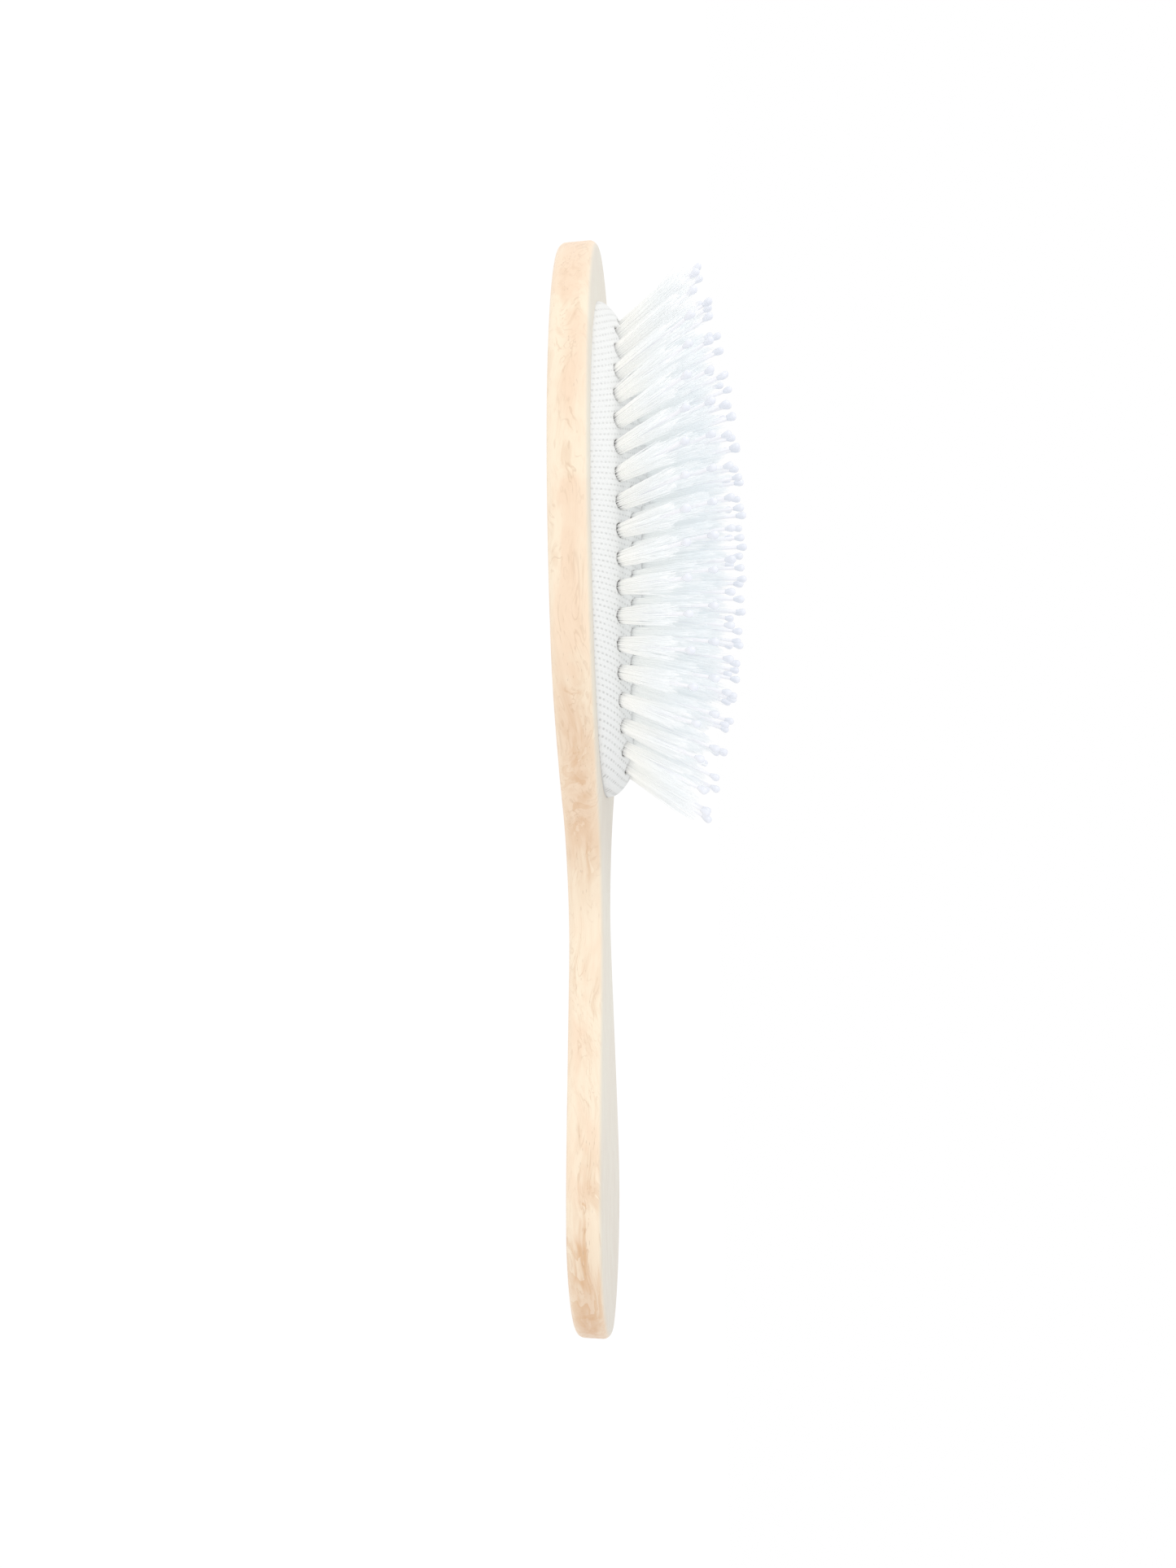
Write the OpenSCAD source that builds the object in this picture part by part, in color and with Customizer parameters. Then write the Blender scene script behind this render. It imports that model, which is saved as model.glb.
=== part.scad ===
// Oval cushion hairbrush: a flat wooden board, a cloth-faced air cushion set in
// a routed recess, and tufts of bristle with a ball-tipped pin in each.
// The brush lies on its flat back. +Z is the way the bristles stand, the head
// points to -X and the handle to +X. Millimetres.

/* [Board] */
// Overall length of the board
board_l = 230; // [200:1:250]
// Thickness of the board at the head
head_t = 8.1; // [7.6:0.1:10]
// Thickness of the board at the end of the handle
tail_t = 7.25; // [6.5:0.05:10]
// Widest width of the head
head_w = 53; // [52:0.5:64]
// Width of the neck
neck_w = 15.6; // [12:0.2:20]
// Widest width of the handle
grip_w = 35.2; // [28:0.2:40]
// Radius of the rounded edges
edge_r = 1.7; // [1:0.1:2.4]

/* [Cushion] */
// Length of the cushion
pad_l = 103.2; // [100:0.1:106]
// Width of the cushion
pad_w = 47; // [44:0.2:48]
// Height of the cushion's middle above the face of the board
pad_rise = 10.5; // [9:0.1:12]
// Thickness of the cloth
cloth_t = 0.5; // [0.4:0.05:0.7]
// Thickness of the rubber
rubber_t = 1.5; // [1.2:0.1:2]
// Depth of the recess under the cushion
recess_d = 4.9; // [4.4:0.1:5.4]

/* [Tufts] */
// Distance between tufts along a ring
pitch = 5.4; // [5.3:0.05:6.5]
// Radius of a tuft where it leaves the cloth
tuft_r = 1.4; // [1.2:0.05:1.5]
// Radius of a tuft at its tip
tuft_tip_r = 2.1; // [1.6:0.1:2.3]
// Length of a tuft above the cloth
tuft_l = 14.5; // [12:0.5:16]
// Length of a pin above the cloth, without its ball
pin_l = 17.8; // [17:0.2:22]
// Radius of a pin's shaft
pin_r = 0.38; // [0.3:0.02:0.45]
// Radius of a pin's ball
ball_r = 0.7; // [0.6:0.05:0.9]
// Lean of the outermost tufts at the sides of the cushion
side_lean = 46; // [30:1:48]
// Lean of the outermost tufts at the ends of the cushion
end_lean = 33; // [20:1:35]

/* [Hidden] */
$fn = 48;

WOOD = [0.93, 0.82, 0.68];
RUBBER = [0.30, 0.29, 0.28];
CLOTH = [0.94, 0.94, 0.95];
BRISTLE = [0.96, 0.95, 0.92];
PIN = [0.92, 0.93, 0.96];
BALL = [0.88, 0.89, 0.97];
STEEL = [0.70, 0.71, 0.73];

// ---- the board's outline ---------------------------------------------------
// s is the distance from the tip of the head, and the outline is a half-width.
head_s = 62;                       // where the head is widest
tail_l = 27;                       // from the widest place of the handle to its end
grip_s = board_l - tail_l;
head_n = 2.08;                     // 2 is an ellipse, more is fuller
tail_n = 1.8;

// The flank between the two widest places: [share of the way, half-width]
FLANK = [
    [-0.11, head_w * 0.487], [0, head_w * 0.5], [0.11, head_w * 0.489],
    [0.227, head_w * 0.447], [0.348, head_w * 0.328], [0.44, head_w * 0.207],
    [0.53, neck_w * 0.513], [0.6, neck_w * 0.5], [0.71, grip_w * 0.305],
    [0.83, grip_w * 0.406], [0.93, grip_w * 0.478], [1, grip_w * 0.5],
    [1.08, grip_w * 0.478]
];

function hermite(p, q, mp, mq, t) =
    p * (2 * pow(t, 3) - 3 * pow(t, 2) + 1) + q * (3 * pow(t, 2) - 2 * pow(t, 3))
    + mp * (pow(t, 3) - 2 * pow(t, 2) + t) + mq * (pow(t, 3) - pow(t, 2));

function slope(k) = (FLANK[k + 1][1] - FLANK[k - 1][1]) / (FLANK[k + 1][0] - FLANK[k - 1][0]);

function flank(u, k = 1) =
    u > FLANK[k + 1][0] && k < len(FLANK) - 3
        ? flank(u, k + 1)
        : let (w = FLANK[k + 1][0] - FLANK[k][0])
          hermite(FLANK[k][1], FLANK[k + 1][1], slope(k) * w, slope(k + 1) * w,
                  (u - FLANK[k][0]) / w);

function half_width(s) =
    s < head_s ? head_w / 2 * sqrt(1 - pow(1 - s / head_s, head_n))
    : s < grip_s ? flank((s - head_s) / (grip_s - head_s))
    : grip_w / 2 * pow(1 - pow((s - grip_s) / tail_l, tail_n), 1 / tail_n);

// Stations are close together at the two blunt ends
head_steps = 13;
flank_steps = 34;
tail_steps = 11;
STATIONS = concat(
    [for (i = [0:head_steps - 1]) head_s * (1 - cos(90 * i / head_steps))],
    [for (i = [0:flank_steps - 1]) head_s + (grip_s - head_s) * i / flank_steps],
    [for (i = [0:tail_steps]) grip_s + tail_l * sin(90 * i / tail_steps)]
);
LAST = len(STATIONS) - 1;

function smooth_step(t) = let (c = min(1, max(0, t))) c * c * (3 - 2 * c);

taper_s = 95;                      // where the board starts to thin towards the handle
taper_l = 50;

function face_z(s) = head_t + (tail_t - head_t) * smooth_step((s - taper_s) / taper_l);

function outline_point(i) = [STATIONS[i] - board_l / 2, half_width(STATIONS[i])];

// Outward direction of the outline at station i
function outline_normal(i) =
    i == 0 ? [-1, 0]
    : i == LAST ? [1, 0]
    : let (d = outline_point(i + 1) - outline_point(i - 1)) [-d[1], d[0]] / norm(d);

// One level of the board: how far it is drawn in, and its share of the thickness
edge_steps = 4;
LEVELS = concat(
    [for (k = [0:edge_steps]) [edge_r * (1 - sin(90 * k / edge_steps)), k / edge_steps, 0]],
    [for (k = [0:edge_steps]) [edge_r * (1 - cos(90 * k / edge_steps)), k / edge_steps, 1]]
);

function level_z(level, s) =
    level[2] == 0
        ? edge_r * (1 - cos(90 * level[1]))
        : face_z(s) - edge_r * (1 - sin(90 * level[1]));

function rim_point(i, level, side) =
    let (p = outline_point(i) - outline_normal(i) * level[0])
    [p[0], side * max(p[1], 0), level_z(level, STATIONS[i])];

// The points of a level run round from tip to tail and back on the other side
RIM = 2 * LAST;

function rim(level) = concat(
    [for (i = [0:LAST]) rim_point(i, level, 1)],
    [for (i = [LAST - 1:-1:1]) rim_point(i, level, -1)]
);

function wall_faces(levels) = [
    for (k = [0:levels - 2], i = [0:RIM - 1])
        let (j = (i + 1) % RIM)
        for (f = [[k * RIM + i, k * RIM + j, (k + 1) * RIM + j],
                  [k * RIM + i, (k + 1) * RIM + j, (k + 1) * RIM + i]]) f
];

// Caps are strips between the two sides, so each one is flat
function cap_faces(base, up) = [
    for (i = [0:LAST - 1])
        let (a = base + i, b = base + i + 1,
             c = base + (RIM - i - 1) % RIM, d = base + (RIM - i) % RIM)
        for (f = i == 0 ? [[a, b, c]] : i == LAST - 1 ? [[a, b, d]] : [[a, b, c], [a, c, d]])
            up ? [f[2], f[1], f[0]] : f
];

module board() {
    points = [for (level = LEVELS) each rim(level)];
    top = (len(LEVELS) - 1) * RIM;
    faces = concat(
        [for (f = wall_faces(len(LEVELS))) [f[0], f[1], f[2]]],
        cap_faces(0, true),
        cap_faces(top, false)
    );
    polyhedron(points, faces, convexity = 6);
}

// ---- the cushion's outline and dome ----------------------------------------
pad_s = 64.8;                      // centre of the cushion, from the tip of the head
pad_x = pad_s - board_l / 2;
pad_a = pad_l / 2;
pad_b = pad_w / 2;
oval_n = 2.25;                     // 2 is an ellipse, more is fuller
apex_z = head_t + pad_rise;
crown_x = 210;                     // radius of the crown along the brush
crown_y = 37.6;                    // radius of the crown across the brush

function signed_pow(v, p) = sign(v) * pow(abs(v), p);

function oval_point(a, b, t) =
    [a * signed_pow(cos(t), 2 / oval_n), b * signed_pow(sin(t), 2 / oval_n)];

module oval(grow, low, high) {
    steps = 96;
    translate([pad_x, 0, low])
        linear_extrude(high - low)
            polygon([for (i = [0:steps - 1])
                oval_point(pad_a + grow, pad_b + grow, 360 * i / steps)]);
}

// Everything under the crown, drawn in by a depth below the cloth's surface
module under_crown(depth) {
    translate([pad_x, 0, apex_z - crown_y])
        rotate([0, 90, 0])
            rotate_extrude($fn = 180)
                intersection() {
                    translate([crown_y - crown_x, 0])
                        circle(crown_x - depth, $fn = 360);
                    translate([0, -pad_l])
                        square([crown_x, 2 * pad_l]);
                }
}

function crown_z(x, y) =
    let (rho = crown_y - crown_x + sqrt(crown_x * crown_x - x * x))
    apex_z - crown_y + sqrt(rho * rho - y * y);

// ---- where the tufts stand --------------------------------------------------
// Semi-axes of each ring, and how far past the tail end its first tuft stands, in pitches
OUTER = [46.5, 18.8, 0];
SECOND = [41.4, 14.3, 0];
THIRD = [36, 9.8, 0.5];
INNER = [30, 5.2, 0];
centre_half = 23;                  // the centre row is a straight line
centre_count = 9;

function ring_xy(ring, t) = oval_point(ring[0], ring[1], t);

// Running length round a ring, as a table of [length, angle]
ring_steps = 180;
function ring_table(ring, i = 0, run = 0, table = []) =
    i > ring_steps ? table
    : let (step = 360 / ring_steps,
           here = ring_xy(ring, i * step),
           gone = i == 0 ? 0 : norm(here - ring_xy(ring, (i - 1) * step)))
      ring_table(ring, i + 1, run + gone, concat(table, [[run + gone, i * step]]));

function ring_places(ring) =
    let (table = ring_table(ring),
         whole = table[ring_steps][0],
         count = 2 * round(whole / pitch / 2))
    [for (k = [0:count - 1]) ring_xy(ring, lookup((k + ring[2]) * whole / count, table))];

OUTER_XY = ring_places(OUTER);
SECOND_XY = ring_places(SECOND);
THIRD_XY = ring_places(THIRD);
INNER_XY = ring_places(INNER);
CENTRE_XY = [for (k = [0:centre_count - 1])
    [centre_half * (2 * k / (centre_count - 1) - 1), 0]];

// Tufts lean outwards, more and more towards the edge
lean_n = 1.2;
function lean(v, full, most) = most * signed_pow(v / full, lean_n);

module at_tuft(p) {
    dir = [tan(lean(p[0], OUTER[0], end_lean)), tan(lean(p[1], OUTER[1], side_lean)), 1];
    translate([pad_x + p[0], p[1], crown_z(p[0], p[1])])
        rotate([0, acos(1 / norm(dir)), atan2(dir[1], dir[0])])
            children();
}

// ---- tufts, pins, ball tips and wire anchors -------------------------------
root_gap = 0.06;                   // clearance of a tuft in its hole
hole_top = 3;                      // how far the holes are cut above the cloth
root_under = 2.1;                  // how far a tuft reaches below the rubber
root_l = cloth_t + rubber_t + root_under;
spread = (tuft_tip_r - tuft_r) / tuft_l;
wire_r = 0.3;
wire_l = 3;
wire_up = 0.75;                    // height of the wire above the tuft's root
pin_up = 1.5;                      // height of the pin's foot above the root
tip_flat = sqrt(ball_r * ball_r - pin_r * pin_r); // from a ball's centre to its foot

// A cone from the root of a tuft to a height above the cloth
module tuft_cone(top, gap = 0) {
    translate([0, 0, -root_l])
        cylinder(root_l + top, tuft_r - spread * root_l + gap, tuft_r + spread * top + gap);
}

module bristles(places) {
    color(BRISTLE)
        for (p = places)
            at_tuft(p)
                tuft_cone(tuft_l);
}

module pins(places) {
    color(PIN)
        for (p = places)
            at_tuft(p)
                translate([0, 0, pin_up - root_l])
                    cylinder(root_l + pin_l - pin_up, r = pin_r);
}

module ball_tips(places) {
    color(BALL)
        for (p = places)
            at_tuft(p)
                translate([0, 0, pin_l])
                    intersection() {
                        translate([0, 0, tip_flat])
                            sphere(ball_r);
                        translate([-ball_r, -ball_r, 0])
                            cube(2 * ball_r + 1);
                    }
}

module anchors(places) {
    color(STEEL)
        for (p = places)
            at_tuft(p)
                translate([0, 0, wire_up - root_l])
                    rotate([90, 0, 0])
                        cylinder(wire_l, r = wire_r, center = true);
}

module tuft_holes() {
    for (p = concat(OUTER_XY, SECOND_XY, THIRD_XY, INNER_XY, CENTRE_XY))
        at_tuft(p)
            tuft_cone(hole_top, root_gap);
}

// ---- board, rubber and cloth -------------------------------------------------
fit_gap = 0.04;                    // between cloth, rubber and wood
lip_out = 1.1;                     // how far the rubber's lip stands out
lip_t = 1.3;                       // thickness of the lip
floor_z = head_t - recess_d;
lip_z = floor_z + fit_gap;

module wood_body() {
    color(WOOD)
        difference() {
            board();
            oval(fit_gap, floor_z, head_t + 1);
            oval(lip_out + fit_gap, floor_z, lip_z + lip_t + fit_gap);
        }
}

module rubber_pad() {
    skin = cloth_t + fit_gap;
    color(RUBBER)
        difference() {
            union() {
                intersection() {
                    oval(-skin, lip_z, apex_z);
                    under_crown(skin);
                }
                oval(lip_out, lip_z, lip_z + lip_t);
            }
            intersection() {
                oval(-skin - rubber_t, lip_z - 1, apex_z);
                under_crown(skin + rubber_t);
            }
            tuft_holes();
        }
}

module pad_cloth() {
    color(CLOTH)
        difference() {
            intersection() {
                oval(0, lip_z + lip_t + fit_gap, apex_z + 1);
                under_crown(0);
            }
            intersection() {
                oval(-cloth_t, lip_z, apex_z);
                under_crown(cloth_t);
            }
            tuft_holes();
        }
}

wood_body();
rubber_pad();
pad_cloth();
bristles(OUTER_XY);  // outer_ring_bristles
pins(OUTER_XY);  // outer_ring_pins
ball_tips(OUTER_XY);  // outer_ring_ball_tips
anchors(OUTER_XY);  // outer_ring_anchors
bristles(SECOND_XY);  // second_ring_bristles
pins(SECOND_XY);  // second_ring_pins
ball_tips(SECOND_XY);  // second_ring_ball_tips
anchors(SECOND_XY);  // second_ring_anchors
bristles(THIRD_XY);  // third_ring_bristles
pins(THIRD_XY);  // third_ring_pins
ball_tips(THIRD_XY);  // third_ring_ball_tips
anchors(THIRD_XY);  // third_ring_anchors
bristles(INNER_XY);  // inner_ring_bristles
pins(INNER_XY);  // inner_ring_pins
ball_tips(INNER_XY);  // inner_ring_ball_tips
anchors(INNER_XY);  // inner_ring_anchors
bristles(CENTRE_XY);  // centre_row_bristles
pins(CENTRE_XY);  // centre_row_pins
ball_tips(CENTRE_XY);  // centre_row_ball_tips
anchors(CENTRE_XY);  // centre_row_anchors
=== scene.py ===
"""The looks of an oval cushion hairbrush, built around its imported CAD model.

In the frame's axes the brush lies on its flat back, +Z is the way the bristles stand, and the head points
to -X. Shapes are worked out in millimetres and stored in metres.
"""

import math

import bpy
import numpy as np
from mathutils import Matrix, Vector


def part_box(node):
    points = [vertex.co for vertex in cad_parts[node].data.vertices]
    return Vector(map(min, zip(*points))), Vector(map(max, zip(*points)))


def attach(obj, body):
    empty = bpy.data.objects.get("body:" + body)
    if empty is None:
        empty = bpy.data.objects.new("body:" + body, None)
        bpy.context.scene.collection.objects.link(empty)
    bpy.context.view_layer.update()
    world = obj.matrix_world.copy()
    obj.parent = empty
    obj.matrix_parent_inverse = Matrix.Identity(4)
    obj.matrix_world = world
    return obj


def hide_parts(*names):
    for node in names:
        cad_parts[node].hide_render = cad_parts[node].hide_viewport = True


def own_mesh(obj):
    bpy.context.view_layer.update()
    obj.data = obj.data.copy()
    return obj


MM = 0.001
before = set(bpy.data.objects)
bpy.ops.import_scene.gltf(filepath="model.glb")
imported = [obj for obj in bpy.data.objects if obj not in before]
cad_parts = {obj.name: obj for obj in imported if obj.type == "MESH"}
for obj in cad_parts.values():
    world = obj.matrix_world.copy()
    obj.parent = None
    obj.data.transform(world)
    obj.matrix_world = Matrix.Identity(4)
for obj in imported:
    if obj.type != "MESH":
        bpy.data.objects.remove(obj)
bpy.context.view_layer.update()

RINGS = ("outer_ring", "second_ring", "third_ring", "inner_ring", "centre_row")
BOARD = "board"
SEED = 11
rng = np.random.default_rng(SEED)


# ---- places, from the frame -----------------------------------------------------
board_lo, board_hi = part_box("wood_body")
cloth_lo, cloth_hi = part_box("pad_cloth")
HALF_L = (board_hi.x - board_lo.x) / 2 / MM
HEAD_W = (board_hi.y - board_lo.y) / MM
HEAD_T = board_hi.z / MM
PAD_X = (cloth_lo.x + cloth_hi.x) / 2 / MM
PAD_A = (cloth_hi.x - cloth_lo.x) / 2 / MM
PAD_B = (cloth_hi.y - cloth_lo.y) / 2 / MM
APEX_Z = cloth_hi.z / MM


def islands(node):
    """The vertices of each separate solid of a CAD node, in millimetres."""
    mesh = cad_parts[node].data
    corners = np.zeros(len(mesh.vertices) * 3, np.float32)
    mesh.vertices.foreach_get("co", corners)
    corners = corners.reshape(-1, 3).astype(float) / MM
    spots, which = np.unique(np.round(corners, 4), axis=0, return_inverse=True)
    which = which.ravel()
    # Every spot takes the lowest number among its neighbours until each solid shares one number
    owner = np.arange(len(spots))
    edges = np.zeros(len(mesh.edges) * 2, int)
    mesh.edges.foreach_get("vertices", edges)
    pairs = which[edges.reshape(-1, 2)]
    while True:
        low = np.minimum(owner[pairs[:, 0]], owner[pairs[:, 1]])
        before = owner.copy()
        np.minimum.at(owner, pairs[:, 0], low)
        np.minimum.at(owner, pairs[:, 1], low)
        owner = owner[owner]
        if np.array_equal(before, owner):
            break
    return [spots[owner == k] for k in np.unique(owner)]


def shafts(node):
    """Foot and top of each pin's shaft, and the direction between them."""
    found = []
    for points in islands(node):
        centre = points.mean(0)
        axis = np.linalg.svd(points - centre)[2][0]
        axis = axis * np.sign(axis[2])
        along = (points - centre) @ axis
        found.append((centre + axis * along.min(), centre + axis * along.max(), axis))
    return found


PIN_FOOT_BELOW = 2.6  # a pin's foot is this far under the cloth, as in the CAD
TUFTS = {
    ring: [(foot + axis * PIN_FOOT_BELOW, top, axis) for foot, top, axis in shafts(ring + "_pins")]
    for ring in RINGS
}
BASES = np.array([base for ring in RINGS for base, _, _ in TUFTS[ring]])
AXES = np.array([axis for ring in RINGS for _, _, axis in TUFTS[ring]])


# ---- small helpers --------------------------------------------------------------
def new_mesh(name, points_mm, faces, smooth=True):
    mesh = bpy.data.meshes.new(name)
    mesh.from_pydata([tuple(p) for p in np.asarray(points_mm) * MM], [], faces)
    mesh.validate()
    mesh.update()
    if smooth:
        mesh.polygons.foreach_set("use_smooth", [True] * len(mesh.polygons))
    obj = bpy.data.objects.new(name, mesh)
    bpy.context.scene.collection.objects.link(obj)
    return obj


def point_value(obj, name, values):
    attribute = obj.data.attributes.new(name, "FLOAT", "POINT")
    attribute.data.foreach_set("value", np.asarray(values, np.float32))


def smooth_step(t):
    t = np.clip(t, 0, 1)
    return t * t * (3 - 2 * t)


def apply_modifiers(obj):
    graph = bpy.context.evaluated_depsgraph_get()
    mesh = bpy.data.meshes.new_from_object(obj.evaluated_get(graph))
    obj.modifiers.clear()
    obj.data = mesh


class Nodes:
    """A short way to write a node tree."""

    def __init__(self, name):
        self.material = bpy.data.materials.new(name)
        self.material.use_nodes = True
        self.tree = self.material.node_tree
        self.shader = self.tree.nodes["Principled BSDF"]

    def add(self, kind, inputs=(), **settings):
        node = self.tree.nodes.new("ShaderNode" + kind)
        for key, value in settings.items():
            setattr(node, key, value)
        for key, value in dict(inputs).items():
            self.put(node, key, value)
        return node

    def put(self, node, key, value):
        if isinstance(value, bpy.types.NodeSocket):
            self.tree.links.new(value, node.inputs[key])
        else:
            node.inputs[key].default_value = value

    def set(self, **values):
        for key, value in values.items():
            self.put(self.shader, key.replace("_", " "), value)

    def math(self, operation, a, b=0.0, c=0.0):
        return self.add("Math", {0: a, 1: b, 2: c}, operation=operation).outputs[0]

    def mix(self, factor, a, b):
        node = self.add("Mix", data_type="RGBA")
        self.put(node, 0, factor)
        self.put(node, 6, a)
        self.put(node, 7, b)
        return node.outputs[2]

    def tint(self, base, colour, mask, weight):
        """The base moved towards a colour by the mask times the weight."""
        return self.mix(self.math("MULTIPLY", mask, weight), base, colour)

    def ramp(self, value, low, high, out_low=0.0, out_high=1.0):
        inputs = {"Value": value, "From Min": low, "From Max": high, "To Min": out_low, "To Max": out_high}
        return self.add("MapRange", inputs, interpolation_type="SMOOTHSTEP").outputs["Result"]

    def mapped(self, vector, scale, shift=(0, 0, 0)):
        return self.add("Mapping", {"Vector": vector, "Scale": scale, "Location": shift}).outputs[0]

    def place(self, scale, shift=(0, 0, 0)):
        """Places on the object, in metres, times a scale."""
        return self.mapped(self.add("TexCoord").outputs["Object"], scale, shift)

    def noise(self, vector, detail=3.0, rough=0.5, distortion=0.0):
        inputs = {"Vector": vector, "Scale": 1.0, "Detail": detail, "Roughness": rough}
        inputs["Distortion"] = distortion
        return self.add("TexNoise", inputs).outputs[0]

    def value(self, name):
        return self.add("Attribute", attribute_name=name).outputs["Fac"]

    def bump(self, height, distance, strength=1.0):
        node = self.add("Bump", {"Height": height, "Distance": distance, "Strength": strength})
        self.put(self.shader, "Normal", node.outputs[0])


def srgb(r, g, b):
    """An 8-bit display colour as linear light."""

    def linear(c):
        c = c / 255
        return c / 12.92 if c <= 0.04045 else ((c + 0.055) / 1.055) ** 2.4

    return (linear(r), linear(g), linear(b), 1.0)


def dress(obj, material, body):
    obj.data.materials.clear()
    obj.data.materials.append(material)
    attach(obj, body)


# ---- camera: the brush upright, seen from its narrow side -----------------------
RAISED = math.radians(7.6)  # above the horizon, from the -Y side
ROLL = math.radians(0.9)
AIM = Vector((-1.5, 0, 3.6)) * MM
DISTANCE = 212.6 * MM
LENS = 23.0


def make_camera():
    right = Vector((0, math.sin(RAISED), math.cos(RAISED)))
    up = Vector((-1, 0, 0))
    back = right.cross(up)
    c, s = math.cos(ROLL), math.sin(ROLL)
    turned = Matrix((c * right - s * up, c * up + s * right, back)).transposed()
    data = bpy.data.cameras.new("camera")
    data.sensor_width = 36.0
    data.lens = LENS
    data.clip_start = 0.01
    data.clip_end = 20.0
    camera = bpy.data.objects.new("camera", data)
    camera.matrix_world = Matrix.Translation(AIM + back * DISTANCE) @ turned.to_4x4()
    bpy.context.scene.collection.objects.link(camera)
    bpy.context.scene.camera = camera


# ---- the wooden board -----------------------------------------------------------
# Distances "s" are along the board, from the tip of the head
EDGE_R = 1.7  # rounding of the board's edges
HEAD_S = 62.0  # the head is widest about here
HEAD_N = 2.08  # exponent of the head's outline: 2 is an ellipse
GRIP_S = 2 * HALF_L - 27  # the handle is widest here
GRIP_N = 1.8  # exponent of the outline of the handle's end
NECK_W = 15.6
GRIP_W = 35.2
TAIL_T = 7.25  # thickness of the handle
THIN_S = 95  # from here the board gets thinner
THIN_L = 50  # over this length
# The flank from the head's widest place (0) to the handle's (1), with half the width there
FLANK = (
    (-0.11, HEAD_W * 0.487), (0, HEAD_W * 0.5), (0.11, HEAD_W * 0.489),
    (0.227, HEAD_W * 0.447), (0.348, HEAD_W * 0.328), (0.44, HEAD_W * 0.207),
    (0.53, NECK_W * 0.513), (0.6, NECK_W * 0.5), (0.71, GRIP_W * 0.305),
    (0.83, GRIP_W * 0.406), (0.93, GRIP_W * 0.478), (1, GRIP_W * 0.5),
    (1.08, GRIP_W * 0.478),
)


def half_width(s):
    """Half the width of the board at a distance s from the tip of the head, as in the CAD."""
    if s < HEAD_S:
        return HEAD_W / 2 * math.sqrt(max(0.0, 1 - abs(1 - s / HEAD_S) ** HEAD_N))
    if s >= GRIP_S:
        t = min(1.0, (s - GRIP_S) / (2 * HALF_L - GRIP_S))
        return GRIP_W / 2 * max(0.0, 1 - t**GRIP_N) ** (1 / GRIP_N)
    u = (s - HEAD_S) / (GRIP_S - HEAD_S)
    k = 1
    while u > FLANK[k + 1][0] and k < len(FLANK) - 3:
        k += 1

    def slope(i):
        return (FLANK[i + 1][1] - FLANK[i - 1][1]) / (FLANK[i + 1][0] - FLANK[i - 1][0])

    (u0, p), (u1, q) = FLANK[k], FLANK[k + 1]
    w = u1 - u0
    t = (u - u0) / w
    return (
        p * (2 * t**3 - 3 * t**2 + 1)
        + q * (3 * t**2 - 2 * t**3)
        + slope(k) * w * (t**3 - 2 * t**2 + t)
        + slope(k + 1) * w * (t**3 - t**2)
    )


def face_z(s):
    """Height of the board's face."""
    return HEAD_T + (TAIL_T - HEAD_T) * float(smooth_step((s - THIN_S) / THIN_L))


OVAL_N = 2.25  # exponent of the cushion's outline: 2 is an ellipse, more is squarer
RECESS = 4.9  # depth of the recess under the cushion
RECESS_GROW = 0.05  # the recess is this much larger than the cushion all round
GROOVE_GROW = 1.15  # and the groove for the rubber's lip this much
GROOVE_TOP = 3.5  # depth of the groove's upper side


def oval(grow, steps=240):
    """The cushion's outline, grown by a distance."""
    n = 2 / OVAL_N
    t = np.linspace(0, 2 * math.pi, steps, endpoint=False)
    c, s = np.cos(t), np.sin(t)
    x = (PAD_A + grow) * np.sign(c) * np.abs(c) ** n
    y = (PAD_B + grow) * np.sign(s) * np.abs(s) ** n
    return np.stack([PAD_X + x, y], 1)


def prism(name, outline, low, high):
    n = len(outline)
    points = [(x, y, z) for z in (low, high) for x, y in outline]
    faces = [(i, (i + 1) % n, n + (i + 1) % n, n + i) for i in range(n)]
    faces += [tuple(range(n))[::-1], tuple(range(n, 2 * n))]
    return new_mesh(name, points, faces, smooth=False)


BACK, SIDE, TOP = range(3)


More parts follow.
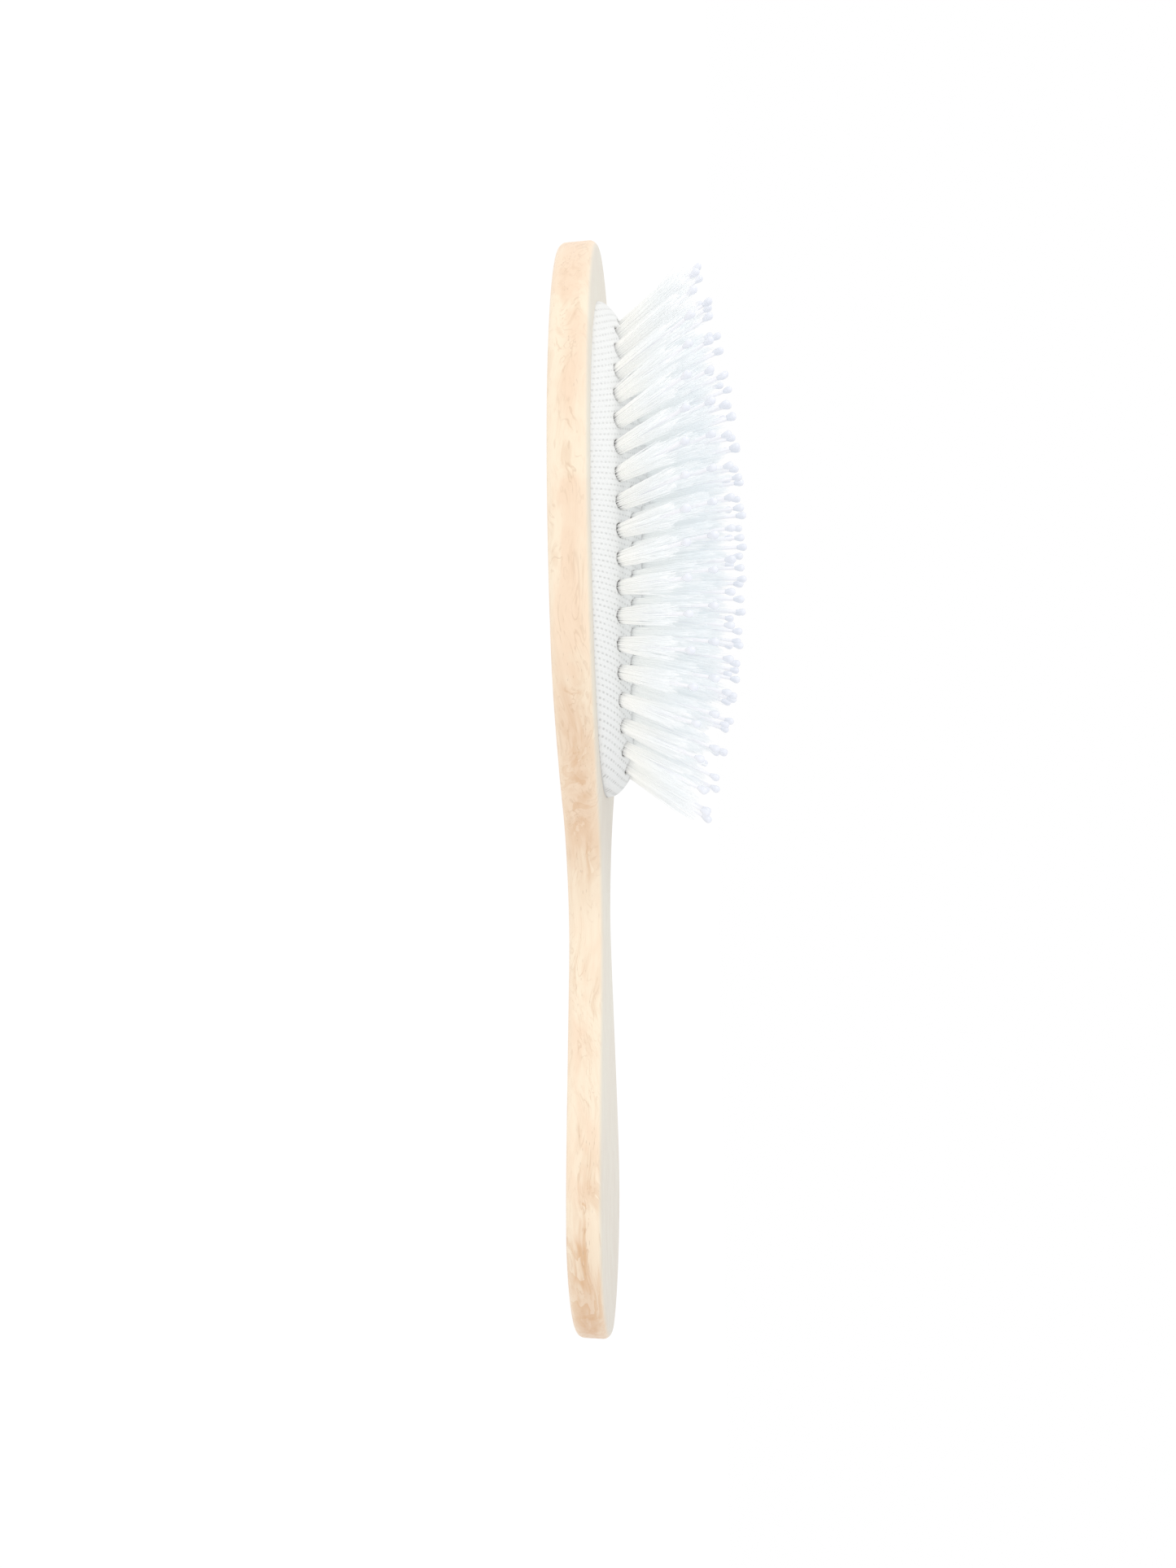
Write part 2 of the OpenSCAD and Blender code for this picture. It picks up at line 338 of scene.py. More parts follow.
def make_board():
    whole = 2 * HALF_L
    bend = np.linspace(0, math.pi / 2, 44)
    stations = np.concatenate(
        [HEAD_S * (1 - np.cos(bend))[:-1],
         np.linspace(HEAD_S, GRIP_S, 150)[:-1],
         GRIP_S + (whole - GRIP_S) * np.sin(np.linspace(0, math.pi / 2, 40))]
    )
    last = len(stations) - 1
    flank = np.array([(s - HALF_L, half_width(s)) for s in stations])
    normals = np.zeros_like(flank)
    steps = flank[2:] - flank[:-2]
    normals[1:-1] = np.stack([-steps[:, 1], steps[:, 0]], 1) / np.linalg.norm(steps, axis=1)[:, None]
    normals[0], normals[-1] = (-1, 0), (1, 0)
    # One outline at each level: how far in from the flank, how high, and what the height is measured from
    edge = np.linspace(0, math.pi / 2, 9)
    levels = [(EDGE_R * (1 - math.sin(a)), EDGE_R * (1 - math.cos(a)), BACK) for a in edge]
    levels += [(0, share, SIDE) for share in (0.25, 0.5, 0.75)]
    levels += [(EDGE_R * (1 - math.cos(a)), -EDGE_R * (1 - math.sin(a)), TOP) for a in edge]
    points, arris = [], []
    for inset, height, kind in levels:
        ring = []
        for i, s in enumerate(stations):
            top = face_z(s)
            z = {BACK: height, TOP: top + height, SIDE: EDGE_R + (top - 2 * EDGE_R) * height}[kind]
            p = flank[i] - normals[i] * inset
            ring.append((p[0], max(p[1], 0.0), z))
        ring += [(x, -y, z) for x, y, z in ring[-2:0:-1]]
        points += ring
        arris += [0.0 if kind == SIDE else 1 - abs(2 * inset / EDGE_R - 0.6)] * len(ring)
    rim = 2 * last
    faces = []
    for k in range(len(levels) - 1):
        for i in range(rim):
            j = (i + 1) % rim
            faces.append((k * rim + i, (k + 1) * rim + i, (k + 1) * rim + j, k * rim + j))
    for base, flip in ((0, False), ((len(levels) - 1) * rim, True)):
        for i in range(last):
            quad = [base + i, base + i + 1, base + (rim - i - 1) % rim, base + (rim - i) % rim]
            face = list(dict.fromkeys(quad))
            faces.append(tuple(face[::-1] if flip else face))
    board = new_mesh("wood_board", points, faces)
    point_value(board, "arris", np.clip(arris, 0, 1))
    cutters = [
        prism("recess_cutter", oval(RECESS_GROW), HEAD_T - RECESS, HEAD_T + 3),
        prism("groove_cutter", oval(GROOVE_GROW), HEAD_T - RECESS, HEAD_T - GROOVE_TOP),
    ]
    for cutter in cutters:
        cut = board.modifiers.new(cutter.name, "BOOLEAN")
        cut.operation = "DIFFERENCE"
        cut.solver = "EXACT"
        cut.object = cutter
    apply_modifiers(board)
    for cutter in cutters:
        bpy.data.objects.remove(cutter)
    board.data.polygons.foreach_set("use_smooth", [True] * len(board.data.polygons))
    board.data.set_sharp_from_angle(angle=math.radians(35))
    return board


def wood_material():
    n = Nodes("pale_wood")
    place = n.add("TexCoord").outputs["Object"]
    parts = n.add("SeparateXYZ", {0: place})
    # The grain runs along the board and wanders sideways
    wander = n.noise(n.place((34, 60, 60)), 2.0)
    lift = n.math("MULTIPLY", n.math("SUBTRACT", wander, 0.5), 0.016)
    lift = n.add("CombineXYZ", {"Y": lift, "Z": lift}).outputs[0]
    grain = n.add("VectorMath", {0: place, 1: lift}, operation="ADD").outputs[0]

    def along(scale, detail, rough, shift=(0, 0, 0)):
        """A noise drawn out along the grain."""
        return n.noise(n.mapped(grain, scale, shift), detail, rough)

    def growth(scale, count, shift, curl):
        """A long-drawn noise cut into steps, 0 to 1 over each, like growth rings cut at a slant."""
        field = n.noise(n.mapped(grain, scale, shift), 3.5, 0.6, curl)
        return n.math("FRACT", n.math("MULTIPLY", field, count))

    fibre = along((40, 1200, 1500), 3.0, 0.6)
    fine = along((120, 4200, 4200), 2.0, 0.6)
    streak = along((26, 420, 520), 3.0, 0.55, (5, 0, 3))
    swirl = along((22, 240, 330), 3.0, 0.6, (1, 5, 2))
    cloud = n.noise(n.place((52, 90, 110), (3, 1, 0)), 3.0, 0.55, 0.6)
    # Fine curly lines, broken up into strokes
    lines = n.math("ABSOLUTE", n.math("SUBTRACT", growth((50, 260, 240), 8.0, (2, 8, 1), 0.7), 0.5))
    lines = n.ramp(lines, 0.17, 0.02)
    broken = n.noise(n.place((110, 420, 420), (4, 2, 6)), 2.0, 0.5)
    strokes = n.math("MULTIPLY", lines, n.ramp(broken, 0.4, 0.62))
    # Broad flames, soft on one side and sharp on the other
    flame = n.ramp(growth((26, 190, 170), 4.6, (6, 3, 9), 0.4), 0.3, 0.97)
    # The tail and the shoulder have more figure than the rest
    tail = n.ramp(parts.outputs["X"], 0.062, 0.088)
    shoulder = n.ramp(n.math("ABSOLUTE", parts.outputs["X"]), 0.03, 0.01)
    figure = n.math("MAXIMUM", tail, n.math("MULTIPLY", shoulder, 0.55))
    # Short dark pores
    pores = n.add("TexVoronoi", {"Vector": n.place((300, 2300, 2300)), "Scale": 1.0})
    patch = n.noise(n.place((60, 300, 300), (7, 7, 7)), 1.0)
    pore = n.math("MULTIPLY", n.ramp(pores.outputs["Distance"], 0.24, 0.1), n.ramp(patch, 0.5, 0.62))
    base = n.mix(n.ramp(cloud, 0.42, 0.6), WOOD_PALE, WOOD_PEACH)
    base = n.tint(base, WOOD_TAN, n.ramp(streak, 0.52, 0.68), 0.4)
    base = n.tint(base, WOOD_TAN, n.ramp(fibre, 0.5, 0.7), 0.22)
    base = n.tint(base, WOOD_TAN, n.ramp(fine, 0.45, 0.75), 0.12)
    base = n.tint(base, WOOD_DUSK, strokes, n.math("MULTIPLY_ADD", figure, 0.3, 0.5))
    # The shoulder and the tail are darker all over
    base = n.tint(base, WOOD_DUSK, shoulder, 0.26)
    base = n.tint(base, WOOD_DUSK, n.ramp(parts.outputs["X"], 0.07, 0.11), 0.6)
    base = n.tint(base, WOOD_DARK, n.math("MULTIPLY", n.ramp(swirl, 0.5, 0.62), figure), 0.5)
    base = n.tint(base, WOOD_DARK, n.math("MULTIPLY", flame, figure), 0.62)
    base = n.tint(base, WOOD_PORE, pore, 0.32)
    # The rounded edges are paler: a painted highlight along them
    base = n.tint(base, WOOD_EDGE_HIGHLIGHT, n.value("arris"), 0.4)
    # The face is whitened towards pale grey, a painted reflection of the bright room at a glancing angle,
    # with the grain showing faintly through it
    facing = n.add("SeparateXYZ", {0: n.add("TexCoord").outputs["Normal"]}).outputs["Z"]
    base = n.tint(base, WOOD_FACE_REFLECTION, n.ramp(facing, 0.55, 0.99), 0.72)
    n.put(n.shader, "Base Color", base)
    n.put(n.shader, "Roughness", n.ramp(fibre, 0.3, 0.7, 0.5, 0.62))
    height = n.math("ADD", n.math("MULTIPLY", fibre, 0.6), n.math("MULTIPLY", fine, 0.3))
    height = n.math("SUBTRACT", height, n.math("MULTIPLY", pore, 0.8))
    n.bump(height, 0.00006, 0.5)
    n.set(Specular_IOR_Level=0.4, Coat_Weight=0.04, Coat_Roughness=0.4)
    n.set(Sheen_Weight=0.12, Sheen_Roughness=0.5)
    return n.material


WOOD_PALE = srgb(243, 221, 190)
WOOD_PEACH = srgb(238, 206, 173)
WOOD_TAN = srgb(218, 179, 142)
WOOD_DUSK = srgb(206, 168, 132)
WOOD_DARK = srgb(202, 148, 96)
WOOD_PORE = srgb(140, 100, 66)
WOOD_EDGE_HIGHLIGHT = srgb(249, 231, 202)
WOOD_FACE_REFLECTION = srgb(210, 209, 196)


# ---- the cushion: cloth over rubber ---------------------------------------------
CROWN_X = 210.0  # radius of the dome's arc along the brush
CROWN_Y = 37.6  # radius of its arc across the brush
BULGE = 3.5  # width of the bulging edge at the sides
BULGE_ENDS = 3.5  # the edge is wider by this at both ends
BULGE_HEAD = 1.0  # and by this more at the head's end
ENDS_FROM = 34  # distance from the middle where the ends begin
ENDS_OVER = 16  # length over which they begin
ROW = 1.02  # spacing of the weave's rows along the brush
STITCH = 0.95  # spacing of the gaps in a row
GROOVE_W = 0.2  # half the width of a row's groove, in rows
GAP_W = 0.3  # half the width of a gap, in stitches
WEAVE_DEPTH = 0.055
BOW = 0.22  # how far the rows bow, as a share of the distance from the middle
PUCKER = 0.3  # depth that a tuft draws the cloth in
PUCKER_R = 2.3  # how far round the tuft it does so
HOLE_R = 1.56
HOLE_RIM = 0.25  # width of the slope at the hole's edge
HOLE_DEPTH = 0.5
NEAR_TUFT = 7  # a tuft changes the cloth only within this distance
SKIRT = 1.6  # depth of the cloth's skirt in the recess


def crown(x, y):
    """Height of the cushion over a point measured from the cushion's centre."""
    rho = CROWN_Y - CROWN_X + np.sqrt(CROWN_X**2 - x**2)
    return APEX_Z - CROWN_Y + np.sqrt(np.maximum(rho**2 - y**2, 1.0))


def inside(x, y):
    """About how far a point is inside the edge of the cushion's outline."""
    ax, ay = np.abs(x) / PAD_A, np.abs(y) / PAD_B
    total = np.maximum(ax**OVAL_N + ay**OVAL_N, 1e-9)
    f = total ** (1 / OVAL_N)
    scale = total ** (1 / OVAL_N - 1)
    gx = scale * ax ** (OVAL_N - 1) / PAD_A
    gy = scale * ay ** (OVAL_N - 1) / PAD_B
    return np.maximum(1 - f, 0) / np.maximum(np.hypot(gx, gy), 1e-9)


def dome(x, y):
    """The cushion's surface with its bulging edge."""
    ends = smooth_step((np.abs(x) - ENDS_FROM) / ENDS_OVER)
    head_end = smooth_step((-x - ENDS_FROM) / ENDS_OVER)
    reach = BULGE + BULGE_ENDS * ends + BULGE_HEAD * head_end
    t = np.clip(inside(x, y) / reach, 0, 1)
    return HEAD_T + (crown(x, y) - HEAD_T) * np.sqrt(1 - (1 - t) ** 2)


def weave(u, v):
    """How deep the gaps between the threads are: each row is half a stitch off the last."""
    row = np.round(u)
    along = v + 0.5 * (row % 2)
    groove = np.exp(-(((u - row) / GROOVE_W) ** 2))
    return groove * (0.1 + 0.9 * np.exp(-(((along - np.round(along)) / GAP_W) ** 2)))


def dimples(x, y):
    """How far each tuft draws the cloth in, with the hole that it passes through."""
    depth = np.zeros_like(x)
    hole = np.zeros_like(x)
    for base, axis in zip(BASES, AXES):
        dx, dy = x + PAD_X - base[0], y - base[1]
        near = np.hypot(dx, dy) < NEAR_TUFT
        spot = np.stack([dx[near], dy[near], crown(x[near], y[near]) - base[2]], 1)
        # Distance from the tuft's own axis
        away = np.linalg.norm(spot - (spot @ axis)[:, None] * axis, axis=1)
        depth[near] = np.maximum(depth[near], np.exp(-((away / PUCKER_R) ** 2)))
        hole[near] = np.maximum(hole[near], smooth_step((HOLE_R - away) / HOLE_RIM))
    return depth, hole


def make_cloth():
    columns, rows = 520, 180
    tip = 0.03  # the cloth stops this far short of the outline's two ends, where it has no width
    packing = 0.86  # how far the lines along the brush crowd towards its sides
    xs = np.linspace(-PAD_A + tip, PAD_A - tip, columns + 1)
    side = PAD_B * (1 - (np.abs(xs) / PAD_A) ** OVAL_N) ** (1 / OVAL_N)
    t = np.sin(np.linspace(-math.pi / 2, math.pi / 2, rows + 1) * packing) / math.sin(packing * math.pi / 2)
    x = np.repeat(xs[:, None], rows + 1, 1)
    y = side[:, None] * t[None, :]
    z = dome(x, y)
    # The distance run over the cloth from its middle line, which the stitches follow
    run = np.cumsum(np.hypot(np.diff(y, axis=1), np.diff(z, axis=1)), axis=1)
    run = np.concatenate([np.zeros((columns + 1, 1)), run], 1)
    run = run - run[:, rows // 2 : rows // 2 + 1]
    # Rows wander by 0.3 mm and stitches by up to 0.6 mm, and the rows bow towards the two ends
    drift = 0.35 * np.sin(x / 17) + 0.25 * np.sin(run / 9 + 1)
    bow = BOW * x * (1 - (y / PAD_B) ** 2)
    u = (x - bow + 0.3 * np.sin(run / 11)) / ROW
    v = (run + drift) / STITCH
    depth, hole = dimples(x.ravel(), y.ravel())
    depth, hole = depth.reshape(x.shape), hole.reshape(x.shape)
    z = z - WEAVE_DEPTH * weave(u, v) - PUCKER * depth - HOLE_DEPTH * hole
    z[:, 0] = z[:, -1] = z[0, :] = z[-1, :] = HEAD_T - 0.02
    points = np.stack([x + PAD_X, y, z], 2).reshape(-1, 3)
    width = rows + 1
    faces = [
        (i * width + j, (i + 1) * width + j, (i + 1) * width + j + 1, i * width + j + 1)
        for i in range(columns)
        for j in range(rows)
    ]
    # The skirt goes down into the recess, and the underside closes it
    rim = [i * width for i in range(columns + 1)]
    rim += [columns * width + j for j in range(1, width)]
    rim += [i * width + rows for i in range(columns - 1, -1, -1)]
    rim += [j for j in range(rows - 1, 0, -1)]
    first = len(points)
    low = points[rim].copy()
    low[:, 2] = HEAD_T - SKIRT
    points = np.concatenate([points, low])
    n = len(rim)
    faces += [(rim[(k + 1) % n], rim[k], first + k, first + (k + 1) % n) for k in range(n)]
    faces.append(tuple(range(first + n - 1, first - 1, -1)))
    cloth = new_mesh("pad_cloth_woven", points, faces)
    layer = cloth.data.uv_layers.new(name="threads")
    threads = np.concatenate([np.stack([u, v], 2).reshape(-1, 2), np.zeros((n, 2))])
    loops = np.zeros(len(cloth.data.loops), int)
    cloth.data.loops.foreach_get("vertex_index", loops)
    layer.data.foreach_set("uv", threads[loops].astype(np.float32).ravel())
    point_value(cloth, "hole", np.concatenate([hole.ravel(), np.zeros(n)]))
    return cloth


def cloth_material():
    n = Nodes("white_cloth")
    threads = n.add("UVMap", uv_map="threads").outputs[0]
    parts = n.add("SeparateXYZ", {0: threads})
    row = n.math("ROUND", parts.outputs["X"])
    shifted = n.math("MULTIPLY_ADD", n.math("MODULO", row, 2.0), 0.5, parts.outputs["Y"])
    off_row = n.math("ABSOLUTE", n.math("SUBTRACT", parts.outputs["X"], row))
    off_gap = n.math("ABSOLUTE", n.math("SUBTRACT", shifted, n.math("ROUND", shifted)))
    wobble = n.noise(n.mapped(threads, (0.7, 0.7, 1)), 2.0)
    dash = n.math("MULTIPLY", n.ramp(off_row, 0.24, 0.06), n.ramp(off_gap, 0.34, 0.14))
    dash = n.math("MULTIPLY", dash, n.ramp(wobble, 0.3, 0.6, 0.3, 1.0))
    cross = n.math("MULTIPLY", n.ramp(off_row, 0.28, 0.05), 0.05)
    yarn = n.noise(n.mapped(threads, (5.0, 5.0, 1)), 3.0)
    base = n.mix(n.ramp(yarn, 0.35, 0.7), CLOTH_WHITE, CLOTH_GREY)
    # The gaps between the threads carry painted shade, which shows less towards the head's end, nearer the
    # key light
    along = n.add("SeparateXYZ", {0: n.add("TexCoord").outputs["Object"]}).outputs["X"]
    base = n.tint(base, CLOTH_GAP_SHADE, dash, n.ramp(along, -0.075, -0.01, 0.3, 0.5))
    # Painted shade in the grooves between the rows
    base = n.mix(cross, base, CLOTH_GAP_SHADE)
    # Painted shade in the holes where the tufts pass through the cloth
    base = n.mix(n.value("hole"), base, CLOTH_HOLE_SHADE)
    n.put(n.shader, "Base Color", base)
    n.bump(n.math("SUBTRACT", n.math("MULTIPLY", yarn, 0.4), dash), 0.00008, 0.7)
    n.set(Roughness=0.85, Specular_IOR_Level=0.2, Sheen_Weight=0.15, Sheen_Roughness=0.4)
    return n.material


CLOTH_WHITE = srgb(235, 236, 234)
CLOTH_GREY = srgb(226, 227, 227)
CLOTH_GAP_SHADE = srgb(146, 146, 143)
CLOTH_HOLE_SHADE = srgb(172, 170, 165)


def loft(name, rings):
    """A tube of rings of points, the last ring joined to the first."""
    count, n = len(rings), len(rings[0])
    points = np.concatenate(rings)
    faces = []
    for k in range(count):
        m = (k + 1) % count
        for i in range(n):
            j = (i + 1) % n
            faces.append((k * n + i, m * n + i, m * n + j, k * n + j))
    return new_mesh(name, points, faces)


def make_rubber():
    skin = 0.54  # the rubber's outside is this far under the cloth's
    thick, lip_out, lip_t = 1.5, 1.1, 1.3
    steps = 160
    floor = HEAD_T - RECESS + 0.04

    def ring(share, drop, grow):
        outline = oval(grow, steps)
        x, y = (outline[:, 0] - PAD_X) * share, outline[:, 1] * share
        return np.stack([x + PAD_X, y, dome(x, y) - drop], 1)

    def level(grow, z):
        outline = oval(grow, steps)
        return np.stack([outline[:, 0], outline[:, 1], np.full(len(outline), z)], 1)

    shares = np.sin(np.linspace(0.02, 1, 22) * math.pi / 2)
    rings = [ring(s, skin, -skin) for s in shares]
    rings += [level(-skin, floor + lip_t), level(lip_out, floor + lip_t), level(lip_out, floor)]
    rings += [level(-skin - thick, floor), level(-skin - thick, HEAD_T - 0.5)]
    rings += [ring(s, skin + thick, -skin - thick) for s in shares[::-1]]
    rubber = loft("rubber_cushion", rings)
    rubber.data.set_sharp_from_angle(angle=math.radians(40))
    return rubber


def rubber_material():
    n = Nodes("black_rubber")
    mottle = n.noise(n.place((300, 300, 300)), 4.0)
    n.put(n.shader, "Base Color", n.mix(mottle, srgb(70, 68, 66), srgb(92, 89, 86)))
    n.bump(mottle, 0.0001, 0.3)
    n.set(Roughness=0.8)
    return n.material


# ---- bristles, pins and balls ---------------------------------------------------
PER_TUFT = 96
SEGMENTS = 6
BRISTLE_SIDES = 3
TUFT_R = 1.36  # at the root
BRISTLE_L = 14.6  # above the cloth
BRISTLE_R = 0.1
BRISTLE_TAPER = 0.55  # share of its radius that a bristle loses towards its tip
ROOT = 1.2  # a bristle starts this far under the cloth
HEAD_END_EXTRA = 2.2  # the tufts at the head's end are longer by this
HEAD_END_FROM = 28  # distance from the cushion's centre where they begin
HEAD_END_OVER = 18  # length over which they reach it
OUTER_SHORT = 1.3  # a tuft's outer bristles are shorter by this
LENGTH_SPREAD = 0.55  # from bristle to bristle
LOCK_SPREAD = 0.75  # the spread of lengths from lock to lock
BEND = 0.18  # how far a bristle's tip bends out of its line
TUFT_BEND = 0.15  # and how far a whole tuft's tips do
FLARE = 1.78  # how many times wider a tuft is at its tip than at its root
FLARE_POWER = 1.15
LOCKS = 7  # bristles lean together in this many locks round a tuft, and one in its middle
LOCK_AT = 0.68  # where the locks' middles are, as a share of the tuft's radius
LOCK_FROM = 0.35  # share of a bristle's length from where it leans to its lock
STRAYS = 0.02  # share of the bristles that bend further
STRAY_BEND = 4  # this many times as far
LEAF_ANGLE = 2.39996  # radians from one bristle to the next in a sunflower pattern
TURN = 6.28  # about one turn, for a random start
# How far each ring is tinted cooler and darker, which stands for light lost between the tufts
DEEP = dict(zip(RINGS, (0.0, 0.5, 0.75, 0.9, 1.0)))


def across(axis):
    """Two directions square to an axis."""
    side = np.cross(axis, (1.0, 0.0, 0.0))
    side /= np.linalg.norm(side)
    return side, np.cross(axis, side)


def tuft_filaments(base, axis):
    """Centre lines of one tuft's bristles, [bristle, station, xyz], with their radii and tones."""
    side, over = across(axis)
    k = np.arange(PER_TUFT)
    # A sunflower pattern fills the disc evenly, and a little noise loosens it
    radius = TUFT_R * np.sqrt((k + 0.5) / PER_TUFT)
    angle = k * LEAF_ANGLE + rng.uniform(0, TURN)
    disc = np.stack([np.cos(angle), np.sin(angle)], 1) * radius[:, None]
    disc += rng.normal(0, 0.06, disc.shape)
    lock_angle = np.arange(LOCKS) * 2 * math.pi / LOCKS + rng.uniform(0, TURN)
    centres = np.stack([np.cos(lock_angle), np.sin(lock_angle)], 1) * TUFT_R * LOCK_AT
    centres = np.concatenate([centres, rng.normal(0, 0.2, (1, 2))])
    owner = np.argmin(np.linalg.norm(disc[:, None] - centres[None], axis=2), axis=1)
    flare = rng.normal(FLARE, 0.1)
    pull = rng.uniform(0.3, 0.62, len(centres))[owner]
    head_end = float(smooth_step((PAD_X - base[0] - HEAD_END_FROM) / HEAD_END_OVER))
    whole = BRISTLE_L + HEAD_END_EXTRA * head_end
    lengths = whole - OUTER_SHORT * (radius / TUFT_R) ** 2 + rng.normal(0, LENGTH_SPREAD, PER_TUFT)
    lengths += rng.normal(0, LOCK_SPREAD, len(centres))[owner]
    bend = rng.normal(0, BEND, (PER_TUFT, 2)) + rng.normal(0, TUFT_BEND, 2)
    stray = rng.random(PER_TUFT) < STRAYS
    bend[stray] *= STRAY_BEND
    t = np.linspace(0, 1, SEGMENTS + 1)
    spread = 1 + (flare - 1) * t**FLARE_POWER
    # The locks' middles move out a little more than the bristles
    centre_spread = 1 + (flare - 0.95) * t**FLARE_POWER
    pulled = (pull[:, None] * smooth_step((t - LOCK_FROM) / (1 - LOCK_FROM))[None])[:, :, None]
    own = disc[:, None] * spread[None, :, None]
    lock = centres[owner][:, None] * centre_spread[None, :, None]
    plane = own * (1 - pulled) + lock * pulled + bend[:, None] * (t**2)[None, :, None]
    height = -ROOT + (lengths[:, None] + ROOT) * t[None]
    points = (
        base[None, None]
        + plane[..., :1] * side[None, None]
        + plane[..., 1:] * over[None, None]
        + height[..., None] * axis[None, None]
    )
    thick = rng.normal(BRISTLE_R, 0.012, PER_TUFT)[:, None] * (1 - BRISTLE_TAPER * t**2)[None]
    tone = 0.6 * rng.random(len(centres))[owner] + 0.4 * rng.random(PER_TUFT)
    return points, thick, tone


def make_bristles(ring):
    made = zip(*(tuft_filaments(base, axis) for base, _, axis in TUFTS[ring]))
    lines, radii, tones = (np.concatenate(group) for group in made)
    count, stations = lines.shape[:2]
    way = lines[:, -1] - lines[:, 0]
    way /= np.linalg.norm(way, axis=1)[:, None]
    side = np.cross(way, (1.0, 0.0, 0.0))
    side /= np.linalg.norm(side, axis=1)[:, None]
    over = np.cross(way, side)
    turns = np.arange(BRISTLE_SIDES) * 2 * math.pi / BRISTLE_SIDES
    start = rng.uniform(0, TURN, count)[:, None] + turns[None]
    offset = np.cos(start)[..., None] * side[:, None] + np.sin(start)[..., None] * over[:, None]
    points = lines[:, :, None] + radii[:, :, None, None] * offset[:, None]
    shape = (count, stations, BRISTLE_SIDES)
    index = np.arange(math.prod(shape)).reshape(shape)
    a, b = index[:, :-1], index[:, 1:]
    quads = np.stack([a, np.roll(a, -1, 2), np.roll(b, -1, 2), b], 3).reshape(-1, 4)
    feet, tips = index[:, 0, ::-1], index[:, -1]
    faces = quads.tolist() + feet.tolist() + tips.tolist()
    bristles = new_mesh(ring + "_bristle_tufts", points.reshape(-1, 3), faces)
    along = np.broadcast_to(np.linspace(0, 1, stations)[None, :, None], shape)
    shade = np.broadcast_to(tones[:, None, None], shape)
    point_value(bristles, "along", along.ravel())
    point_value(bristles, "shade", shade.ravel())
    point_value(bristles, "deep", np.full(math.prod(shape), DEEP[ring]))
    return bristles


def bristle_material():
    n = Nodes("ivory_bristle")
    along = n.value("along")
    tone = n.mix(n.ramp(along, 0.15, 0.8), BRISTLE_ROOT, BRISTLE_TIP)
    tone = n.tint(tone, BRISTLE_SHADE, n.ramp(n.value("shade"), 0.2, 0.8), 0.3)
    # The bristles' ends are painted lighter, a painted highlight where they catch the light
    tone = n.mix(n.ramp(along, 0.88, 1.0), tone, BRISTLE_END_HIGHLIGHT)
    tone = n.tint(tone, BRISTLE_DEEP, n.value("deep"), 0.6)
    streak = n.noise(n.place((900, 900, 900)), 2.0)
    tone = n.tint(tone, BRISTLE_SHADE, n.ramp(streak, 0.5, 0.8), 0.12)
    n.put(n.shader, "Base Color", tone)
    n.set(Roughness=0.42, Specular_IOR_Level=0.45, Sheen_Weight=0.1)
    n.set(Emission_Color=BRISTLE_GLOW, Emission_Strength=0.26)
    return n.material


BRISTLE_ROOT = srgb(245, 243, 236)
BRISTLE_TIP = srgb(236, 239, 240)
BRISTLE_END_HIGHLIGHT = srgb(248, 249, 249)
BRISTLE_SHADE = srgb(208, 210, 208)
BRISTLE_DEEP = srgb(216, 226, 231)
BRISTLE_GLOW = srgb(244, 247, 249)  # stands for light carried along inside clear bristles

PIN_R = 0.38
PIN_TAPER = 0.08  # share of its radius that a pin loses towards its top
PIN_SIDES = 10
BALL_SIDES = 14
# A ball as heights above the shaft's top and radii: the drawn-out foot, and the cap from an arc
BALL_FOOT = ((-0.8, PIN_R * 0.9), (-0.6, PIN_R * 1.12), (-0.3, 0.54), (0.05, 0.66), (0.32, 0.72))
CAP_LOW, CAP_H, CAP_R = 0.56, 0.71, 0.74
CAP_TIP = (1.272, 0.05)


def lathe_rings(base, axis, profile, sides):
    """Rings round an axis for each (height, radius) of a profile."""
    side, over = across(axis)
    angle = np.arange(sides) * 2 * math.pi / sides
    circle = np.cos(angle)[:, None] * side + np.sin(angle)[:, None] * over
    return [base + axis * h + circle * r for h, r in profile]


def many_lathes(name, rings_of_each):
    """One mesh of many closed lathed solids."""
    points, faces, start = [], [], 0
    for rings in rings_of_each:
        n = len(rings[0])
        for k in range(len(rings) - 1):
            for i in range(n):
                j = (i + 1) % n
                a, b = start + k * n, start + (k + 1) * n
                faces.append((a + i, a + j, b + j, b + i))
        faces.append(tuple(start + i for i in range(n))[::-1])
        end = start + (len(rings) - 1) * n
        faces.append(tuple(end + i for i in range(n)))
        points += rings
        start += len(rings) * n
    return new_mesh(name, np.concatenate(points), faces)


def make_pins(ring):
    made = []
    for base, top, axis in TUFTS[ring]:
        length = float((top - base) @ axis)
        profile = [(-PIN_FOOT_BELOW, PIN_R)]
        # The last share runs a little into the ball
        profile += [(length * share, PIN_R * (1 - PIN_TAPER * share)) for share in (0, 0.4, 0.8, 1.01)]
        made.append(lathe_rings(base, axis, profile, PIN_SIDES))
    return many_lathes(ring + "_nylon_pins", made)


def make_balls(ring):
    """Drops of resin: a drawn-out foot on the shaft that swells to a round end."""
    arc = np.linspace(0.08, 1, 9)[:-1] * math.pi / 2
    cap = [(CAP_LOW + CAP_H * math.sin(a), CAP_R * math.cos(a)) for a in arc]
    made = []
    for _, top, axis in TUFTS[ring]:
        size = rng.normal(1, 0.035)
        profile = [(h * size, r * size) for h, r in [*BALL_FOOT, *cap]]
        profile.append((CAP_TIP[0] * size, CAP_TIP[1]))
        made.append(lathe_rings(top, axis, profile, BALL_SIDES))
    return many_lathes(ring + "_ball_drops", made)


